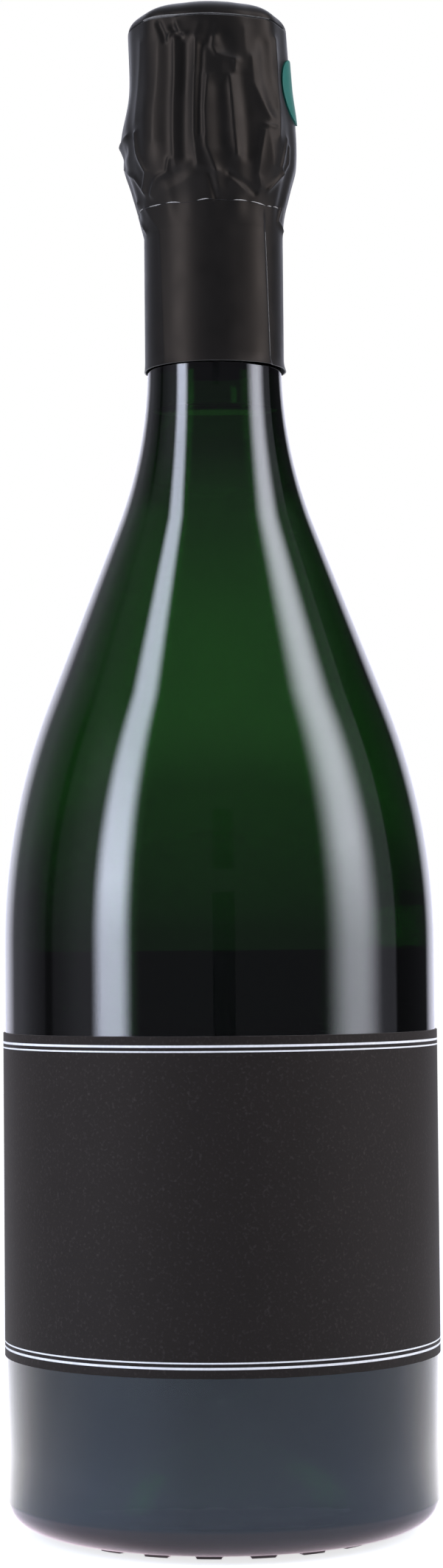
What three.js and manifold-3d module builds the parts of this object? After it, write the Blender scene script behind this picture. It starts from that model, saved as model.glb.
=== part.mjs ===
// A 75 cl sparkling wine bottle, sealed with a wired cork under a foil hood.
// Millimetres, +Z up, origin at the centre of the base, label facing -Y.
// Turns are measured from the front (-Y) towards +X.
import * as THREE from "three";
import { mergeVertices } from "three/addons/utils/BufferGeometryUtils.js";
import Module from "manifold-3d";

const wasm = await Module();
wasm.setup();

// Clearance between pieces that touch, and the facets round the large and the fine pieces
const SEAT_GAP = 0.25;
const BODY_STEPS = 36;
const FOIL_STEPS = 48;
const CORK_STEPS = 24;

// Glass: body, heel and base
const BODY_RADIUS = 44.05;
const BODY_WALL = 4.8;
const HEEL_WIDTH = 9;
const HEEL_HEIGHT = 7;
const BEARING_WIDTH = 3.85;
const PAD_COUNT = 20;
const PAD_LENGTH = 5.4;
const PAD_WIDTH = 2.6;
const PAD_HEIGHT = 1;
const PAD_TURN = -5;
const PUNT_LIP = 2.2;
const PUNT_DEPTH = 30;
const BASE_WALL = 5.5;

// Glass: shoulder, neck and mouth
const SHOULDER_START = 119;
const SHOULDER_CURVE = 136;
const SHOULDER_SLOPE = 21.5;
const NECK_CURVE = 93;
const NECK_RADIUS = 13.85;
const NECK_SWELL = 0.2;
const NECK_LENGTH = 57.35;
const BORE_RADIUS = 9;
const BORE_LENGTH = 28;
const LIP_RADIUS = 14.5;
const LIP_HEIGHT = 5.9;
const GROOVE_DEPTH = 1.1;
const GROOVE_HEIGHT = 2.2;
const COLLAR_RADIUS = 15.4;
const COLLAR_HEIGHT = 6;
const RECESS_DEPTH = 2.1;
const RECESS_HEIGHT = 4.6;

// Wine, label and cork
const FILL_DROP = 68.8;
const LABEL_HEIGHT = 65.3;
const LABEL_DROP = 17.7;
const LABEL_WRAP = 300;
const PAPER_THICKNESS = 0.15;
const CORK_DEPTH = 25;
const CORK_DISC = 5.3;
const CORK_HEAD_RADIUS = 14;
const CORK_HEAD_HEIGHT = 12.2;

// Wire cage
const WIRE_RADIUS = 0.45;
const LEG_COUNT = 4;
const LEG_TWISTS = 3;
const PLAQUE_RADIUS = 13.4;
const PLAQUE_THICKNESS = 0.3;
const PLAQUE_RISE = 0.6;
const HOOP_INSET = 1;
const EYE_RADIUS = 3.2;
const EYE_STEM = 3.4;
const EYE_TURN = 270;

// Foil
const FOIL_THICKNESS = 0.25;
const SKIRT_OVERHANG = 1.75;
const TEAR_DROP = 26.4;
const GATHER_LENGTH = 4.8;
const GATHER_RISE = 0.75;
const HOOD_SLACK = 0.45;
const HOOD_SHIFT = 1;
const HOOD_CROWN = 5.5;
const HOOD_HEADROOM = 3;
const PLEAT_DEPTH = 0.3;
const LEG_RIDGE = 0.85;
const EYE_BULGE = 1.2;
const STICKER_RADIUS = 6.7;
const STICKER_TURN = 81.5;
const STICKER_DROP = 1.3;

const radians = (degrees) => (degrees * Math.PI) / 180;

// The point at a turn, radius and height
function around(turn, radius, height) {
  return [radius * Math.sin(turn), -radius * Math.cos(turn), height];
}

// A geometry from corner points and triangles
function geometryOf(points, triangles) {
  const geometry = new THREE.BufferGeometry();
  geometry.setAttribute("position", new THREE.Float32BufferAttribute(points.flat(), 3));
  geometry.setIndex(triangles.flat());
  return geometry;
}

// A full turn of a profile of [radius, height] pairs, which starts and ends on the axis or closes on itself
function turned(profile, steps) {
  const line = profile.map(([radius, height]) => new THREE.Vector2(radius, height));
  return new THREE.LatheGeometry(line, steps).rotateX(Math.PI / 2);
}

// A profile that changes with the turn, closed round the axis, or capped at both ends of a part turn
function turnedLoop(profileAt, steps, from = 0, sweep = 2 * Math.PI) {
  const whole = sweep >= 2 * Math.PI - 1e-9;
  const rings = whole ? steps : steps + 1;
  const points = [];
  for (let i = 0; i < rings; i++) {
    const turn = from + (sweep * i) / steps;
    for (const [radius, height] of profileAt(turn)) {
      points.push(around(turn, radius, height));
    }
  }
  const count = points.length / rings;
  const triangles = [];
  for (let i = 0; i < steps; i++) {
    const here = i * count;
    const next = ((i + 1) % rings) * count;
    for (let j = 0; j < count; j++) {
      const k = (j + 1) % count;
      triangles.push([here + j, next + j, next + k], [here + j, next + k, here + k]);
    }
  }
  if (!whole) {
    const last = (rings - 1) * count;
    for (let j = 1; j < count - 1; j++) {
      triangles.push([0, j, j + 1], [last, last + j + 1, last + j]);
    }
  }
  return geometryOf(points, triangles);
}

// A closed mesh as a solid, and a solid as a mesh geometry
function solidOf(geometry) {
  const bare = geometry.clone();
  bare.deleteAttribute("normal");
  bare.deleteAttribute("uv");
  const merged = mergeVertices(bare, 1e-4);
  const corners = [];
  for (let i = 0; i < merged.index.count; i += 3) {
    const [a, b, c] = merged.index.array.slice(i, i + 3);
    if (a !== b && b !== c && c !== a) {
      corners.push(a, b, c);
    }
  }
  return new wasm.Manifold(
    new wasm.Mesh({
      numProp: 3,
      vertProperties: new Float32Array(merged.attributes.position.array),
      triVerts: new Uint32Array(corners),
    }),
  );
}

function joined(geometries) {
  const whole = geometries.map(solidOf).reduce((sum, piece) => sum.add(piece));
  const mesh = whole.getMesh();
  const geometry = new THREE.BufferGeometry();
  geometry.setAttribute("position", new THREE.BufferAttribute(mesh.vertProperties, 3));
  geometry.setIndex(new THREE.BufferAttribute(mesh.triVerts, 1));
  return geometry;
}

// A smooth curve through [place, value] pairs in rising order, flat outside them
function smooth(rows, place) {
  const last = rows.length - 1;
  if (place <= rows[0][0]) {
    return rows[0][1];
  }
  if (place >= rows[last][0]) {
    return rows[last][1];
  }
  const i = rows.findIndex((row) => row[0] > place) - 1;
  const slopeAt = (k) => {
    const a = rows[Math.max(k - 1, 0)];
    const b = rows[Math.min(k + 1, last)];
    return (b[1] - a[1]) / (b[0] - a[0]);
  };
  const width = rows[i + 1][0] - rows[i][0];
  const t = (place - rows[i][0]) / width;
  const rise = 3 * t * t - 2 * t * t * t;
  const pull = t * (1 - t);
  return (
    rows[i][1] * (1 - rise) +
    rows[i + 1][1] * rise +
    width * pull * (slopeAt(i) * (1 - t) - slopeAt(i + 1) * t)
  );
}

// A bump of height 1 at the centre that dies away over the given width, and the same round the axis
const bump = (offset, width) => Math.exp(-((offset / width) ** 2));

function turnBump(turn, centre, width) {
  const offset = Math.atan2(Math.sin(turn - centre), Math.cos(turn - centre));
  return bump(offset, width);
}

// The wall line from the straight body over the shoulder to the neck, set in by the given amount
const slope = radians(SHOULDER_SLOPE);
const shoulderEnd = SHOULDER_START + SHOULDER_CURVE * Math.sin(slope);
const shoulderEndRadius = BODY_RADIUS - SHOULDER_CURVE * (1 - Math.cos(slope));
const neckCurveRadius = NECK_RADIUS + NECK_CURVE * (1 - Math.cos(slope));
const neckCurveStart = shoulderEnd + (shoulderEndRadius - neckCurveRadius) / Math.tan(slope);
const neckStart = neckCurveStart + NECK_CURVE * Math.sin(slope);
const mouthTop = neckStart + NECK_LENGTH;

function wallLine(inset) {
  const line = [];
  for (let i = 0; i <= 6; i++) {
    const a = (slope * i) / 6;
    line.push([
      BODY_RADIUS - SHOULDER_CURVE + (SHOULDER_CURVE - inset) * Math.cos(a),
      SHOULDER_START + (SHOULDER_CURVE - inset) * Math.sin(a),
    ]);
  }
  for (let i = 0; i <= 5; i++) {
    const a = slope * (1 - i / 5);
    line.push([
      NECK_RADIUS + NECK_CURVE - (NECK_CURVE + inset) * Math.cos(a),
      neckStart - (NECK_CURVE + inset) * Math.sin(a),
    ]);
  }
  return line;
}

// Glass bottle: domed punt, padded bearing ring, heel, body, neck, wire collar and crown lip
const heelEdge = BODY_RADIUS - HEEL_WIDTH;
const bearingInner = heelEdge - BEARING_WIDTH;
const puntRadius = bearingInner - PUNT_LIP;
const neckTopRadius = NECK_RADIUS + NECK_SWELL;
const lipBottom = mouthTop - LIP_HEIGHT;
const collarTop = lipBottom - GROOVE_HEIGHT;
const collarBottom = collarTop - COLLAR_HEIGHT;
const recessRadius = COLLAR_RADIUS - RECESS_DEPTH;
const recessBottom = collarBottom - RECESS_HEIGHT;
const grooveRadius = LIP_RADIUS - GROOVE_DEPTH;
const boreBottom = mouthTop - BORE_LENGTH;

function baseLine() {
  const line = [];
  for (let i = 0; i <= 5; i++) {
    const a = radians((82 * i) / 5);
    line.push([puntRadius * Math.sin(a), PAD_HEIGHT + PUNT_DEPTH * Math.cos(a)]);
  }
  line.push([puntRadius + 0.35 * PUNT_LIP, PAD_HEIGHT + 0.6 * PUNT_LIP]);
  line.push([bearingInner, PAD_HEIGHT]);
  for (let i = 0; i <= 5; i++) {
    const a = radians(18 * i);
    line.push([
      heelEdge + HEEL_WIDTH * Math.sin(a) ** 0.89,
      PAD_HEIGHT + HEEL_HEIGHT * (1 - Math.cos(a) ** 0.89),
    ]);
  }
  return line;
}

function mouthLine() {
  const round = 0.2 * LIP_HEIGHT;
  const ease = 0.12 * COLLAR_HEIGHT;
  return [
    [neckTopRadius, neckStart + 7],
    [neckTopRadius, recessBottom - 1.2],
    [recessRadius, recessBottom],
    [recessRadius, collarBottom],
    [COLLAR_RADIUS - ease, collarBottom],
    [COLLAR_RADIUS, collarBottom + ease],
    [COLLAR_RADIUS, collarTop - 2 * ease],
    [grooveRadius, collarTop],
    [grooveRadius, lipBottom - 0.4],
    [LIP_RADIUS, lipBottom + 0.3 * round],
    [LIP_RADIUS, mouthTop - round],
    [LIP_RADIUS - 0.3 * round, mouthTop - 0.3 * round],
    [LIP_RADIUS - round, mouthTop],
    [BORE_RADIUS + round, mouthTop],
    [BORE_RADIUS + 0.3 * round, mouthTop - 0.3 * round],
    [BORE_RADIUS, mouthTop - round],
    [BORE_RADIUS, boreBottom],
  ];
}

// The inside of the glass from the neck down to the axis, set in by the given amount
function insideLine(inset) {
  const line = wallLine(BODY_WALL + inset).reverse();
  const wallRadius = BODY_RADIUS - BODY_WALL - inset;
  const troughRadius = heelEdge - 0.5;
  const troughBottom = PAD_HEIGHT + BASE_WALL + 0.3 + inset;
  const heelTop = PAD_HEIGHT + 2.2 * HEEL_HEIGHT;
  for (let i = 0; i <= 3; i++) {
    const a = radians(30 * i);
    line.push([
      troughRadius + (wallRadius - troughRadius) * Math.cos(a),
      heelTop - (heelTop - troughBottom) * Math.sin(a),
    ]);
  }
  const domeRadius = puntRadius + 0.8 * BASE_WALL + inset;
  const domeHeight = PUNT_DEPTH + BASE_WALL + inset;
  for (let i = 4; i >= 0; i--) {
    const a = radians(20 * i);
    line.push([domeRadius * Math.sin(a), PAD_HEIGHT + domeHeight * Math.cos(a)]);
  }
  return line;
}

const glassLine = [...baseLine(), ...wallLine(0), ...mouthLine(), ...insideLine(0)];
const pads = [];
for (let i = 0; i < PAD_COUNT; i++) {
  const pad = new THREE.BoxGeometry(PAD_LENGTH, PAD_WIDTH, 2 * PAD_HEIGHT);
  pad.translate(0, BEARING_WIDTH / 2 - heelEdge, PAD_HEIGHT);
  pads.push(pad.rotateZ(radians(PAD_TURN + (360 * i) / PAD_COUNT)));
}
const glassGeometry = joined([turned(glassLine, BODY_STEPS), ...pads]);

// Wine: the inside of the glass up to the filling height
const fillLevel = mouthTop - FILL_DROP;

function wineLine() {
  const inside = [[BORE_RADIUS - SEAT_GAP, boreBottom], ...insideLine(SEAT_GAP)];
  const below = inside.findIndex(([, height]) => height < fillLevel);
  const [upperRadius, upper] = inside[below - 1];
  const [lowerRadius, lower] = inside[below];
  const share = (fillLevel - lower) / (upper - lower);
  const edge = lowerRadius + (upperRadius - lowerRadius) * share;
  return [[0, fillLevel], [edge, fillLevel], ...inside.slice(below)].reverse();
}

// Label: a paper sheet round the straight part of the body
const labelTop = SHOULDER_START - LABEL_DROP;
const labelBottom = labelTop - LABEL_HEIGHT;
const labelInner = BODY_RADIUS + SEAT_GAP;
const labelOuter = labelInner + PAPER_THICKNESS;
const labelProfile = [
  [labelInner, labelBottom],
  [labelOuter, labelBottom],
  [labelOuter, labelTop],
  [labelInner, labelTop],
];

// Cork: an agglomerate body with a rounded head, and two natural cork discs at its foot
const corkRadius = BORE_RADIUS - SEAT_GAP;
const corkFoot = mouthTop - CORK_DEPTH;
const discStep = CORK_DISC + SEAT_GAP;
const headBottom = mouthTop + SEAT_GAP;
const headTop = headBottom + CORK_HEAD_HEIGHT;
const headRound = 0.25 * CORK_HEAD_HEIGHT;

function corkLine() {
  const lipRound = 0.2 * LIP_HEIGHT;
  const line = [
    [0, corkFoot + 2 * discStep],
    [corkRadius, corkFoot + 2 * discStep],
    [corkRadius, mouthTop - 0.9 * lipRound],
    [corkRadius + 0.35 * lipRound, mouthTop - 0.05 * lipRound],
    [corkRadius + lipRound, headBottom],
  ];
  for (let i = 0; i <= 2; i++) {
    const a = radians(45 * i);
    const round = 0.5 * headRound;
    line.push([
      CORK_HEAD_RADIUS - round * (1 - Math.sin(a)),
      headBottom + round * (1 - Math.cos(a)),
    ]);
  }
  for (let i = 0; i <= 3; i++) {
    const a = radians(30 * i);
    line.push([
      CORK_HEAD_RADIUS - headRound * (1 - Math.cos(a)),
      headTop - headRound * (1 - Math.sin(a)),
    ]);
  }
  line.push([0, headTop + 0.5 * PLAQUE_RISE]);
  return line;
}

function discLine(index) {
  const bottom = corkFoot + index * discStep;
  return [
    [0, bottom],
    [corkRadius, bottom],
    [corkRadius, bottom + CORK_DISC],
    [0, bottom + CORK_DISC],
  ];
}

// Cage: a domed plaque on the cork, a frame wire of a hoop and four twisted legs, and a belt wire
const plaqueBottom = headTop + SEAT_GAP + 0.05;
const hoopRadius = PLAQUE_RADIUS - HOOP_INSET;
const plaqueStep = hoopRadius - WIRE_RADIUS - SEAT_GAP;
const hoopHeight = plaqueBottom + PLAQUE_THICKNESS + SEAT_GAP + WIRE_RADIUS;
const plaqueLine = [
  [0, plaqueBottom + PLAQUE_RISE],
  [plaqueStep - 2, plaqueBottom + 0.8 * PLAQUE_RISE],
  [plaqueStep - 1, plaqueBottom],
  [PLAQUE_RADIUS, plaqueBottom],
  [PLAQUE_RADIUS, plaqueBottom + PLAQUE_THICKNESS],
  [plaqueStep - 0.9, plaqueBottom + PLAQUE_THICKNESS],
  [plaqueStep - 1.9, plaqueBottom + 0.8 * PLAQUE_RISE + PLAQUE_THICKNESS],
  [0, plaqueBottom + PLAQUE_RISE + PLAQUE_THICKNESS],
];

const lobe = 0.8 * WIRE_RADIUS;
const pairRadius = lobe + WIRE_RADIUS;
const beltRadius = recessRadius + 2 * SEAT_GAP + 3 * WIRE_RADIUS;
const loopRadius = SEAT_GAP + 2 * WIRE_RADIUS;
const beltHeight = collarBottom - SEAT_GAP - loopRadius - WIRE_RADIUS;
const legCorkRadius = CORK_HEAD_RADIUS + SEAT_GAP + pairRadius;
const legCollarRadius = COLLAR_RADIUS + SEAT_GAP + pairRadius;

// Two wires side by side along a line of [radius, height] pairs, twisted round each other past a share of it
function wirePair(line, turn, twistStart, twists, steps) {
  const path = new THREE.SplineCurve(line.map(([r, z]) => new THREE.Vector2(r, z)));
  const sides = 8;
  const points = [];
  const triangles = [];
  for (let i = 0; i <= steps; i++) {
    const t = i / steps;
    const centre = path.getPointAt(t);
    const along = path.getTangentAt(t);
    const twist = (Math.max(0, t - twistStart) / (1 - twistStart)) * twists * 2 * Math.PI;
    for (let j = 0; j < sides; j++) {
      const a = (2 * Math.PI * j) / sides;
      const reach =
        lobe * Math.abs(Math.cos(a)) + Math.sqrt(WIRE_RADIUS ** 2 - (lobe * Math.sin(a)) ** 2);
      const across = reach * Math.cos(a + twist);
      const outward = reach * Math.sin(a + twist);
      const radius = centre.x - along.y * outward;
      const height = centre.y + along.x * outward;
      const [x, y, z] = around(turn, radius, height);
      points.push([x + across * Math.cos(turn), y + across * Math.sin(turn), z]);
    }
  }
  for (let i = 0; i < steps; i++) {
    for (let j = 0; j < sides; j++) {
      const k = (j + 1) % sides;
      const here = i * sides;
      const next = here + sides;
      triangles.push([here + j, here + k, next + k], [here + j, next + k, next + j]);
    }
  }
  const end = steps * sides;
  for (let j = 1; j < sides - 1; j++) {
    triangles.push([0, j + 1, j], [end, end + j, end + j + 1]);
  }
  return geometryOf(points, triangles);
}

// A wire ring that lies flat at a height, and one that stands on edge at a turn
function flatRing(radius, height, steps) {
  return new THREE.TorusGeometry(radius, WIRE_RADIUS, 5, steps).translate(0, 0, height);
}

function frameWire() {
  const wires = [flatRing(hoopRadius, hoopHeight, 32)];
  const hook = radians(54);
  const hookReach = loopRadius + 0.1;
  const line = [
    [hoopRadius, hoopHeight],
    [PLAQUE_RADIUS + 0.3, hoopHeight - 0.1],
    [legCorkRadius - 0.35, hoopHeight - 1.1],
    [legCorkRadius, headTop - headRound],
    [legCorkRadius, headBottom + headRound],
    [legCollarRadius, collarTop],
    [legCollarRadius, collarBottom + 1],
    [beltRadius + hookReach * Math.cos(hook), beltHeight + hookReach * Math.sin(hook)],
  ];
  for (let i = 0; i < LEG_COUNT; i++) {
    const turn = (2 * Math.PI * (i + 0.5)) / LEG_COUNT;
    wires.push(wirePair(line, turn, 0.22, LEG_TWISTS, 19));
    const loop = new THREE.TorusGeometry(loopRadius, WIRE_RADIUS, 5, 10);
    loop.rotateX(Math.PI / 2).rotateZ(turn - Math.PI / 2);
    wires.push(loop.translate(...around(turn, beltRadius, beltHeight)));
  }
  return joined(wires);
}

function beltWire() {
  const turn = radians(EYE_TURN);
  const stemTop = beltHeight + EYE_STEM;
  const line = [
    [beltRadius, beltHeight],
    [beltRadius + 0.75 * (legCollarRadius - beltRadius), beltHeight + 0.25],
    [legCollarRadius, beltHeight + 0.45 * EYE_STEM],
    [legCollarRadius, stemTop],
  ];
  const eye = new THREE.TorusGeometry(EYE_RADIUS, WIRE_RADIUS, 5, 18);
  eye.rotateX(Math.PI / 2).rotateZ(turn);
  eye.translate(...around(turn, legCollarRadius, stemTop + EYE_RADIUS));
  return joined([flatRing(beltRadius, beltHeight, 36), wirePair(line, turn, 0.3, 1, 9), eye]);
}

// Foil: a skirt on the neck, and above the tear line a hood that is gathered under the collar,
// ridged over the legs, bulged over the eye and closed by a domed disc
const skirtBottom = neckStart - SKIRT_OVERHANG;
const skirtRadius = neckTopRadius + SEAT_GAP + FOIL_THICKNESS;
const tearLine = mouthTop - TEAR_DROP;
const gatherStart = tearLine - GATHER_LENGTH;
const hoodCollarRadius = legCollarRadius + pairRadius + HOOD_SLACK;
const hoodHeadRadius = legCorkRadius + pairRadius + HOOD_SLACK;
const hoodTop = hoopHeight + WIRE_RADIUS + HOOD_HEADROOM - HOOD_CROWN;
const tearRadius = skirtRadius + GATHER_RISE;
const middleRadius = (tearRadius + hoodCollarRadius) / 2;
const middleHeight = (tearLine + beltHeight) / 2;

const foilRows = [
  [gatherStart, skirtRadius],
  [tearLine, tearRadius],
  [middleHeight, middleRadius],
  [beltHeight - WIRE_RADIUS, hoodCollarRadius],
  [collarTop, hoodCollarRadius],
  [mouthTop, hoodHeadRadius + 0.5],
  [hoodTop, hoodHeadRadius + 0.2],
];
const shiftRows = [
  [gatherStart, 0],
  [tearLine, 0.35 * HOOD_SHIFT],
  [mouthTop, 0.5 * HOOD_SHIFT],
  [hoodTop, HOOD_SHIFT],
];
const pleatRows = [
  [gatherStart, 0],
  [tearLine, PLEAT_DEPTH],
  [beltHeight, PLEAT_DEPTH],
  [mouthTop, 0.5 * PLEAT_DEPTH],
  [hoodTop, 0.3 * PLEAT_DEPTH],
];
const ridgeRows = [
  [tearLine, 0],
  [beltHeight - 2 * loopRadius, LEG_RIDGE],
  [hoodTop, LEG_RIDGE],
];
const stickerTurn = radians(STICKER_TURN);
const stickerHeight = mouthTop - STICKER_DROP;

function foilRadius(turn, height) {
  let ridge = 0;
  for (let i = 0; i < LEG_COUNT; i++) {
    ridge += turnBump(turn, (2 * Math.PI * (i + 0.5)) / LEG_COUNT, radians(11));
  }
  const wave = Math.cos(7 * turn + 0.7) + 0.8 * Math.cos(12 * turn + 2.1) + 0.7 * Math.cos(19 * turn);
  const calm = 1 - turnBump(turn, stickerTurn, radians(32)) * bump(height - stickerHeight, 12);
  const eyeHeight = beltHeight + EYE_STEM + 0.4 * EYE_RADIUS;
  const bulge = turnBump(turn, radians(EYE_TURN), radians(15)) * bump(height - eyeHeight, 5.5);
  return (
    smooth(foilRows, height) -
    smooth(shiftRows, height) * Math.sin(turn) +
    smooth(pleatRows, height) * (wave / 2.5) * Math.max(0, 1 - ridge) * calm +
    smooth(ridgeRows, height) * ridge +
    EYE_BULGE * bulge
  );
}

function skirtProfile(turn) {
  const outer = [[skirtRadius + 0.15, skirtBottom]];
  outer.push([skirtRadius, skirtBottom + 1.6]);
  outer.push([skirtRadius, gatherStart]);
  for (let i = 1; i <= 2; i++) {
    const height = gatherStart + ((tearLine - SEAT_GAP / 2 - gatherStart) * i) / 2;
    outer.push([foilRadius(turn, height), height]);
  }
  const inner = outer.map(([radius, height]) => [radius - FOIL_THICKNESS, height]);
  return [...outer, ...inner.reverse()];
}

function hoodProfile(turn) {
  const outer = [];
  const start = tearLine + SEAT_GAP / 2;
  const stop = hoodTop - 0.35;
  for (let i = 0; i <= 9; i++) {
    const height = start + ((stop - start) * i) / 9;
    outer.push([foilRadius(turn, height), height]);
  }
  const inner = outer.map(([radius, height]) => [radius - FOIL_THICKNESS, height]);
  inner[9][1] -= 0.35;
  const tuck = foilRadius(turn, hoodTop) - FOIL_THICKNESS - SEAT_GAP;
  outer.push([tuck, hoodTop - 0.1], [tuck - 0.3, hoodTop + 0.7]);
  inner.push([tuck - FOIL_THICKNESS, hoodTop - 0.35]);
  inner.push([tuck - 0.3 - FOIL_THICKNESS, hoodTop + 0.7]);
  return [...outer, ...inner.reverse()];
}

function crownProfile(turn) {
  const rim = foilRadius(turn, hoodTop);
  const line = [];
  for (let i = 0; i <= 5; i++) {
    const a = radians(18 * i);
    line.push([(rim - FOIL_THICKNESS) * Math.sin(a), hoodTop + (HOOD_CROWN - FOIL_THICKNESS) * Math.cos(a)]);
  }
  for (let i = 5; i >= 0; i--) {
    const a = radians(18 * i);
    line.push([rim * Math.sin(a), hoodTop + HOOD_CROWN * Math.cos(a)]);
  }
  return line;
}

// The domed disc closes on the axis, so its inner and outer skins meet there in one point each
function crownDisc() {
  const points = [];
  const triangles = [];
  const count = 12;
  for (let i = 0; i < FOIL_STEPS; i++) {
    const turn = (2 * Math.PI * i) / FOIL_STEPS;
    for (const [radius, height] of crownProfile(turn)) {
      points.push(around(turn, radius, height));
    }
  }
  for (let i = 0; i < FOIL_STEPS; i++) {
    const here = i * count;
    const next = ((i + 1) % FOIL_STEPS) * count;
    triangles.push([0, next + 1, here + 1]);
    for (let j = 1; j < count - 2; j++) {
      triangles.push([here + j, next + j, next + j + 1], [here + j, next + j + 1, here + j + 1]);
    }
    triangles.push([here + count - 2, next + count - 2, count - 1]);
  }
  return geometryOf(points, triangles);
}

// Sticker: a round paper seal that lies on the side of the hood
function sticker() {
  const rings = [0.5, 1];
  const sides = 18;
  const points = [];
  const triangles = [];
  const place = (reach, angle, lift) => {
    const height = stickerHeight + reach * Math.sin(angle);
    const middle = foilRadius(stickerTurn, stickerHeight);
    const turn = stickerTurn + (reach * Math.cos(angle)) / middle;
    return around(turn, foilRadius(turn, height) + SEAT_GAP + lift, height);
  };
  for (const lift of [0, PAPER_THICKNESS]) {
    points.push(place(0, 0, lift));
    for (const ring of rings) {
      for (let j = 0; j < sides; j++) {
        points.push(place(ring * STICKER_RADIUS, (2 * Math.PI * j) / sides, lift));
      }
    }
  }
  const layer = 1 + rings.length * sides;
  for (let j = 0; j < sides; j++) {
    const k = (j + 1) % sides;
    triangles.push([0, 1 + k, 1 + j], [layer, layer + 1 + j, layer + 1 + k]);
    const a = 1 + j;
    const b = 1 + k;
    const c = a + sides;
    const d = b + sides;
    triangles.push([a, b, d], [a, d, c]);
    triangles.push([layer + a, layer + d, layer + b], [layer + a, layer + c, layer + d]);
    triangles.push([c, d, layer + d], [c, layer + d, layer + c]);
  }
  return geometryOf(points, triangles);
}

// Materials and the assembly
function material(color, roughness, metalness = 0) {
  return new THREE.MeshStandardMaterial({ color, roughness, metalness });
}

const greenGlass = material(0x141d16, 0.05);
const goldWine = material(0x9a8436, 0.1);
const blackPaper = material(0x2c2828, 0.85);
const blackFoil = material(0x2b2725, 0.4, 0.3);
const tealPaper = material(0x2f7f72, 0.6);
const corkGrain = material(0xb48a5c, 0.9);
const paleCork = material(0xc9a476, 0.9);
const steelWire = material(0xb8b5ad, 0.35, 1);
const tinPlate = material(0x8f8c86, 0.35, 1);

function piece(name, geometry, look) {
  const mesh = new THREE.Mesh(geometry, look);
  mesh.name = name;
  return mesh;
}

const labelWrap = radians(LABEL_WRAP);
const labelSteps = Math.round((BODY_STEPS * LABEL_WRAP) / 360);
const labelSheet = turnedLoop(() => labelProfile, labelSteps, -labelWrap / 2, labelWrap);

const bottle = new THREE.Group();
bottle.add(piece("glass_bottle", glassGeometry, greenGlass));
bottle.add(piece("wine", turned(wineLine(), BODY_STEPS), goldWine));
bottle.add(piece("front_label", labelSheet, blackPaper));
bottle.add(piece("foil_skirt", turnedLoop(skirtProfile, FOIL_STEPS), blackFoil));

const cork = new THREE.Group();
cork.add(piece("cork_body", turned(corkLine(), CORK_STEPS), corkGrain));
cork.add(piece("cork_disc_upper", turned(discLine(1), CORK_STEPS), paleCork));
cork.add(piece("cork_disc_lower", turned(discLine(0), CORK_STEPS), paleCork));

const cage = new THREE.Group();
cage.add(piece("cage_plaque", turned(plaqueLine, CORK_STEPS), tinPlate));
cage.add(piece("cage_frame_wire", frameWire(), steelWire));
cage.add(piece("cage_belt_wire", beltWire(), steelWire));

const hood = new THREE.Group();
hood.add(piece("foil_hood", turnedLoop(hoodProfile, FOIL_STEPS), blackFoil));
hood.add(piece("foil_top_disc", crownDisc(), blackFoil));
hood.add(piece("foil_round_sticker", sticker(), tealPaper));

const sparklingWineBottle = new THREE.Group();
sparklingWineBottle.add(bottle, cork, cage, hood);

export default sparklingWineBottle;
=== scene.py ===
import random
from functools import partial
from math import atan2, cos, degrees, exp, hypot, pi, radians, sin, sqrt, tan

import bmesh
import bpy
from mathutils import Matrix, Vector


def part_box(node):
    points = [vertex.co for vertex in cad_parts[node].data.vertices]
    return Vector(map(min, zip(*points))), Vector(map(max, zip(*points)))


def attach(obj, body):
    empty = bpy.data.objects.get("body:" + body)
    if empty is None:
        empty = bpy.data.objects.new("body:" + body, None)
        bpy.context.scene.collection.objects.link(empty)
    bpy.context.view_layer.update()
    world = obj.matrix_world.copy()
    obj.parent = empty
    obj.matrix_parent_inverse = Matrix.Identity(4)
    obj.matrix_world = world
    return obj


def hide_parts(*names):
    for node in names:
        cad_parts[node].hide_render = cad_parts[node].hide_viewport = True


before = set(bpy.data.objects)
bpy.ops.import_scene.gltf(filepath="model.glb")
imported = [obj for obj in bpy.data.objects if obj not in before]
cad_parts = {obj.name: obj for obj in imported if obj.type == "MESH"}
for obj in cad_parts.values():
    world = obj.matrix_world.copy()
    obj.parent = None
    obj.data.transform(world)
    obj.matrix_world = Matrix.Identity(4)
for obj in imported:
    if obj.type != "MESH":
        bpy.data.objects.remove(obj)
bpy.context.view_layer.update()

scene = bpy.context.scene
scene.view_settings.view_transform = "Standard"

# Camera: a long portrait lens on a stand in front of the label, level with the top of the straight body.
# It looks a little up and is rolled a little, so that the bottle leans to the left.
MM = 0.001
CAMERA_PLACE = (0.71, -674.8, 119.4)
CAMERA_PITCH = radians(2.76)
CAMERA_ROLL = radians(-0.49)
lens = bpy.data.cameras.new("portrait_lens")
lens.sensor_width = 36
lens.lens = 75.23
camera = bpy.data.objects.new("camera", lens)
camera.location = [MM * place for place in CAMERA_PLACE]
aim = Matrix.Rotation(pi / 2 + CAMERA_PITCH, 3, "X") @ Matrix.Rotation(CAMERA_ROLL, 3, "Z")
camera.rotation_euler = aim.to_euler()
scene.collection.objects.link(camera)
scene.camera = camera

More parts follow.
